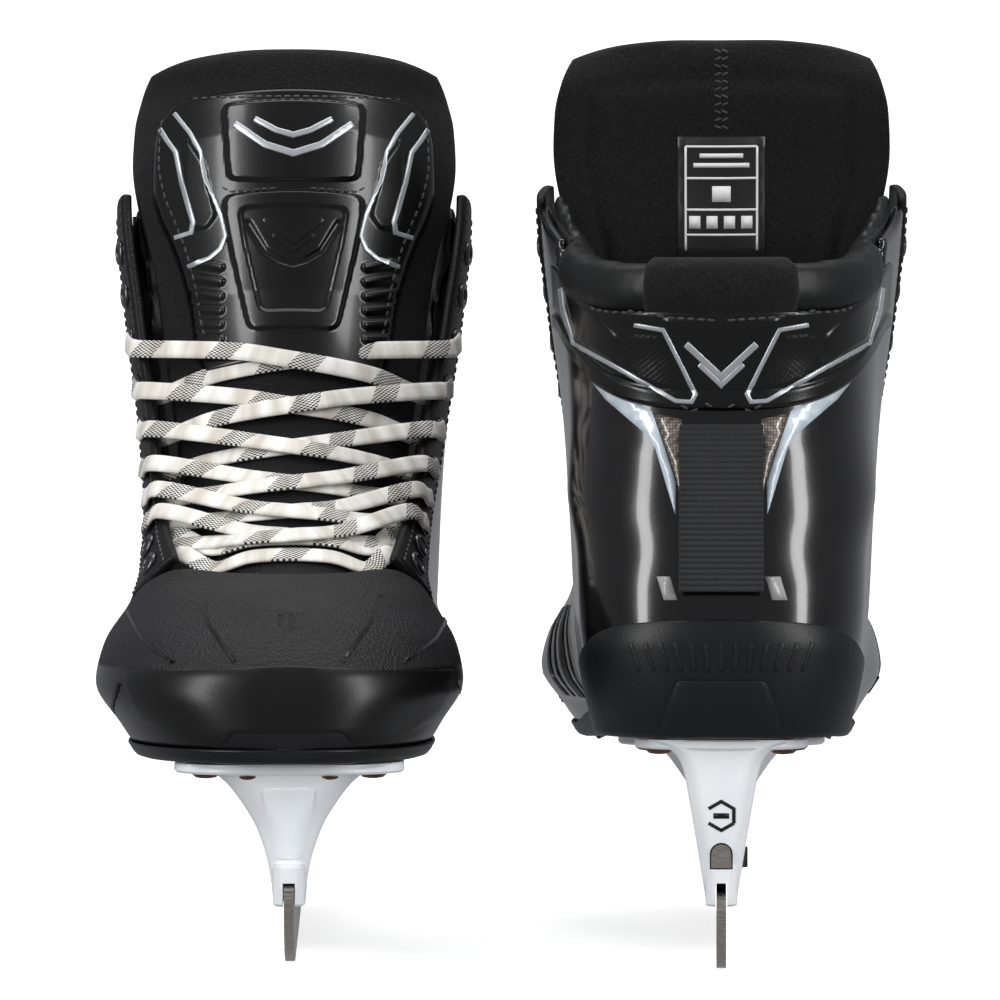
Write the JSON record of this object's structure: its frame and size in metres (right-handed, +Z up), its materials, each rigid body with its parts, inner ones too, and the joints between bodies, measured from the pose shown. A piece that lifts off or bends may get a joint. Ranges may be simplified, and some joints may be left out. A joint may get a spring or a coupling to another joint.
{
  "type": "ice skates",
  "caption": "Pair of black ice hockey skates with moulded boots, flat laces, white plastic blade holders and removable steel runners.",
  "frame": {"origin": "middle of the pair on the ice, below the centre of its box", "axes": "+Z up; +Y the way the left skate points, the right skate points along -Y; +X across the pair, from the right skate to the left one"},
  "size_m": [0.252, 0.3, 0.288],
  "materials": {
    "gloss_shell": "glossy black moulded shell",
    "composite_sole": "satin black composite",
    "toe_cap_plastic": "pebbled matt black with smooth facets",
    "facing_synthetic": "black coated synthetic with stitched edges",
    "foam": "dark foam footbed",
    "liner_fabric": "black brushed knit",
    "collar_fabric": "black smooth knit",
    "guard_plastic": "satin black moulded plastic with silver lines",
    "felt": "black felt",
    "webbing": "ribbed black webbing",
    "lace_cotton": "white flat lace with black flecks",
    "holder_nylon": "white moulded plastic",
    "runner_steel": "ground stainless steel",
    "wheel_plastic": "black knurled plastic",
    "rivet_metal": "dull coppery steel"
  },
  "bodies": {
    "pair": {"right_shell": "gloss_shell", "right_outsole": "composite_sole", "right_toe_cap": "toe_cap_plastic", "right_facing_outer": "facing_synthetic", "right_facing_inner": "facing_synthetic", "right_insole": "foam", "right_liner": "liner_fabric", "right_collar_pad_outer": "collar_fabric", "right_collar_pad_inner": "collar_fabric", "right_tongue_lower": "felt", "right_lace": "lace_cotton", "right_holder": "holder_nylon", "right_window_insert": "runner_steel", "right_rivet_1_outer": "rivet_metal", "right_rivet_1_inner": "rivet_metal", "right_rivet_2_outer": "rivet_metal", "right_rivet_2_inner": "rivet_metal", "right_rivet_3_outer": "rivet_metal", "right_rivet_3_inner": "rivet_metal", "right_rivet_4_outer": "rivet_metal", "right_rivet_4_inner": "rivet_metal", "left_shell": "gloss_shell", "left_outsole": "composite_sole", "left_toe_cap": "toe_cap_plastic", "left_facing_outer": "facing_synthetic", "left_facing_inner": "facing_synthetic", "left_insole": "foam", "left_liner": "liner_fabric", "left_collar_pad_outer": "collar_fabric", "left_collar_pad_inner": "collar_fabric", "left_tongue_lower": "felt", "left_lace": "lace_cotton", "left_holder": "holder_nylon", "left_window_insert": "runner_steel", "left_rivet_1_outer": "rivet_metal", "left_rivet_1_inner": "rivet_metal", "left_rivet_2_outer": "rivet_metal", "left_rivet_2_inner": "rivet_metal", "left_rivet_3_outer": "rivet_metal", "left_rivet_3_inner": "rivet_metal", "left_rivet_4_outer": "rivet_metal", "left_rivet_4_inner": "rivet_metal"},
    "right_lock_wheel": {"right_lock_wheel": "wheel_plastic"},
    "right_lock_bolt": {"right_lock_bolt": "runner_steel"},
    "right_runner": {"right_runner": "runner_steel"},
    "right_pull_tab": {"right_pull_tab": "webbing"},
    "right_tongue": {"right_tongue_upper": "felt", "right_tongue_guard": "guard_plastic"},
    "right_tendon_guard": {"right_tendon_guard": "guard_plastic", "right_collar_felt": "felt"},
    "left_lock_wheel": {"left_lock_wheel": "wheel_plastic"},
    "left_lock_bolt": {"left_lock_bolt": "runner_steel"},
    "left_runner": {"left_runner": "runner_steel"},
    "left_pull_tab": {"left_pull_tab": "webbing"},
    "left_tongue": {"left_tongue_upper": "felt", "left_tongue_guard": "guard_plastic"},
    "left_tendon_guard": {"left_tendon_guard": "guard_plastic", "left_collar_felt": "felt"}
  },
  "joints": [
    {"name": "right_lock_wheel_turn", "type": "hinge", "parent": "pair", "child": "right_lock_wheel", "pos_m": [-0.07003, 0.11503, 0.034], "axis": [0, 0, 1], "range_deg": [0, 720]},
    {"name": "right_lock_bolt_slide", "type": "slide", "parent": "pair", "child": "right_lock_bolt", "axis": [0, 0, -1], "range_m": [0, 0.00505]},
    {"name": "right_runner_release", "type": "hinge", "parent": "pair", "child": "right_runner", "pos_m": [-0.06407, -0.1209, 0.033], "axis": [-0.9995, -0.0304, 0], "range_deg": [0, 1.21]},
    {"name": "right_pull_tab_swing", "type": "hinge", "parent": "pair", "child": "right_pull_tab", "pos_m": [-0.07162, 0.12762, 0.1615], "axis": [0.9995, 0.0304, 0], "range_deg": [0, 100]},
    {"name": "right_tongue_flex", "type": "hinge", "parent": "pair", "child": "right_tongue", "pos_m": [-0.0675, -0.00793, 0.2], "axis": [0.9995, 0.0304, 0], "range_deg": [0, 25], "stiffness_Nm_per_rad": 1.2},
    {"name": "right_tendon_guard_flex", "type": "hinge", "parent": "pair", "child": "right_tendon_guard", "pos_m": [-0.07158, 0.12649, 0.163], "axis": [-0.9995, -0.0304, 0], "range_deg": [0, 10], "stiffness_Nm_per_rad": 8},
    {"name": "left_lock_wheel_turn", "type": "hinge", "parent": "pair", "child": "left_lock_wheel", "pos_m": [0.06649, -0.1149, 0.034], "axis": [0, 0, 1], "range_deg": [0, 720]},
    {"name": "left_lock_bolt_slide", "type": "slide", "parent": "pair", "child": "left_lock_bolt", "axis": [0, 0, -1], "range_m": [0, 0.00505]},
    {"name": "left_runner_release", "type": "hinge", "parent": "pair", "child": "left_runner", "pos_m": [0.07559, 0.12093, 0.033], "axis": [0.999, -0.0436, 0], "range_deg": [0, 1.21]},
    {"name": "left_pull_tab_swing", "type": "hinge", "parent": "pair", "child": "left_pull_tab", "pos_m": [0.06474, -0.12747, 0.1615], "axis": [-0.999, 0.0436, 0], "range_deg": [0, 100]},
    {"name": "left_tongue_flex", "type": "hinge", "parent": "pair", "child": "left_tongue", "pos_m": [0.07066, 0.00802, 0.2], "axis": [-0.999, 0.0436, 0], "range_deg": [0, 25], "stiffness_Nm_per_rad": 1.2},
    {"name": "left_tendon_guard_flex", "type": "hinge", "parent": "pair", "child": "left_tendon_guard", "pos_m": [0.06479, -0.12633, 0.163], "axis": [0.999, -0.0436, 0], "range_deg": [0, 10], "stiffness_Nm_per_rad": 8}
  ],
  "couplings": [
    {"joint": "right_lock_wheel_turn", "follows": "right_runner_release", "ratio": 593.13},
    {"joint": "right_lock_bolt_slide", "follows": "right_runner_release", "m_per_rad": 0.236},
    {"joint": "left_lock_wheel_turn", "follows": "left_runner_release", "ratio": 593.13},
    {"joint": "left_lock_bolt_slide", "follows": "left_runner_release", "m_per_rad": 0.236}
  ]
}
